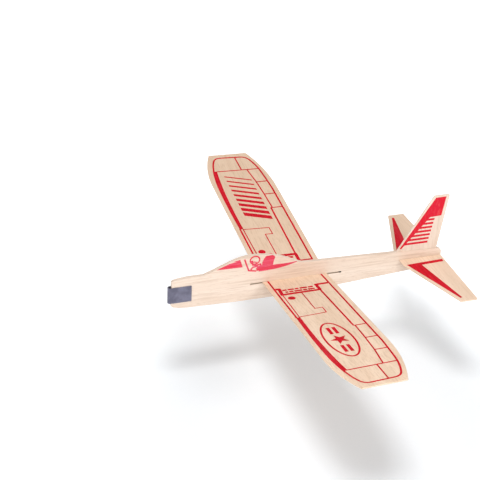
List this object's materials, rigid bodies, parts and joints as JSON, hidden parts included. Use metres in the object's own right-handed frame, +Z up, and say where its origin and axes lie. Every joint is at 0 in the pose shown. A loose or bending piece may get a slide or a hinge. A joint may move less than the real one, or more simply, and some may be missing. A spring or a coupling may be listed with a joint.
{
  "type": "balsa hand glider",
  "caption": "Slot-together balsa hand glider: flat fuselage with a canopy profile, dihedral wing, swept fin and stabilizer, and a folded steel nose weight.",
  "frame": {"origin": "under the middle of the glider's length, in its plane of symmetry, level with the flat of the keel", "axes": "+X to the nose, +Y to port (the pilot's left), +Z up"},
  "size_m": [0.1989, 0.3052, 0.0623],
  "materials": {
    "fuselage_balsa": "bare balsa with red printed lines, satin",
    "wing_balsa": "bare balsa with red printed lines, satin",
    "tail_balsa": "bare balsa with red printed lines, satin",
    "weight_steel": "dark tin-plated sheet, dull"
  },
  "bodies": {
    "fuselage": {"fuselage": "fuselage_balsa"},
    "wing": {"wing": "wing_balsa"},
    "stabilizer": {"stabilizer": "tail_balsa"},
    "fin": {"fin": "tail_balsa"},
    "nose_weight": {"nose_weight": "weight_steel"}
  },
  "joints": [
    {"name": "wing_trim", "type": "slide", "parent": "fuselage", "child": "wing", "axis": [1, 0, 0], "range_m": [-0.0108, 0.0088]},
    {"name": "stabilizer_pull", "type": "slide", "parent": "fuselage", "child": "stabilizer", "axis": [-1, 0, 0], "range_m": [0, 0.0315]},
    {"name": "fin_pull", "type": "slide", "parent": "fuselage", "child": "fin", "axis": [0, 0, 1], "range_m": [0, 0.0055]},
    {"name": "nose_weight_pull", "type": "slide", "parent": "fuselage", "child": "nose_weight", "axis": [1, 0, 0], "range_m": [0, 0.0145]}
  ]
}
